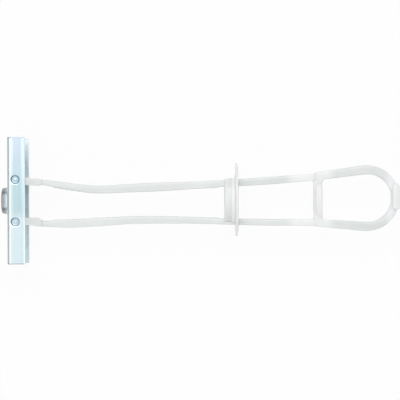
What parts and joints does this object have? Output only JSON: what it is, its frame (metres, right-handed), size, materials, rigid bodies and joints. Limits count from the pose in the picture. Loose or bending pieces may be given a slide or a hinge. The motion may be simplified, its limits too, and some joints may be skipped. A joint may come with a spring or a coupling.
{
  "type": "strap toggle anchor",
  "caption": "Toggle anchor for hollow walls: a pivoting tapped steel channel on two toothed plastic straps with a finger ring, and a flanged cap that slides along the straps.",
  "frame": {"origin": "centre of the tapped hole in the channel's web, halfway along its thread", "axes": "+X along the thread axis towards the finger ring, +Y across the two straps, +Z square to the channel's side walls"},
  "size_m": [0.1505, 0.0476, 0.0276],
  "materials": {
    "zinc_plated_steel": "bright blue zinc plate",
    "natural_strap_plastic": "translucent natural moulding",
    "natural_cap_plastic": "translucent natural moulding"
  },
  "bodies": {
    "handle": {"strap_handle": "natural_strap_plastic"},
    "channel": {"toggle_channel": "zinc_plated_steel"},
    "cap": {"ratchet_cap": "natural_cap_plastic"}
  },
  "joints": [
    {"name": "channel_swing", "type": "hinge", "parent": "handle", "child": "channel", "pos_m": [0.0038, 0.0079, 0], "axis": [0, 0, 1], "range_deg": [-90, 0]},
    {"name": "cap_slide", "type": "slide", "parent": "handle", "child": "cap", "axis": [1, 0, 0], "range_m": [-0.06145, 0.028]}
  ]
}
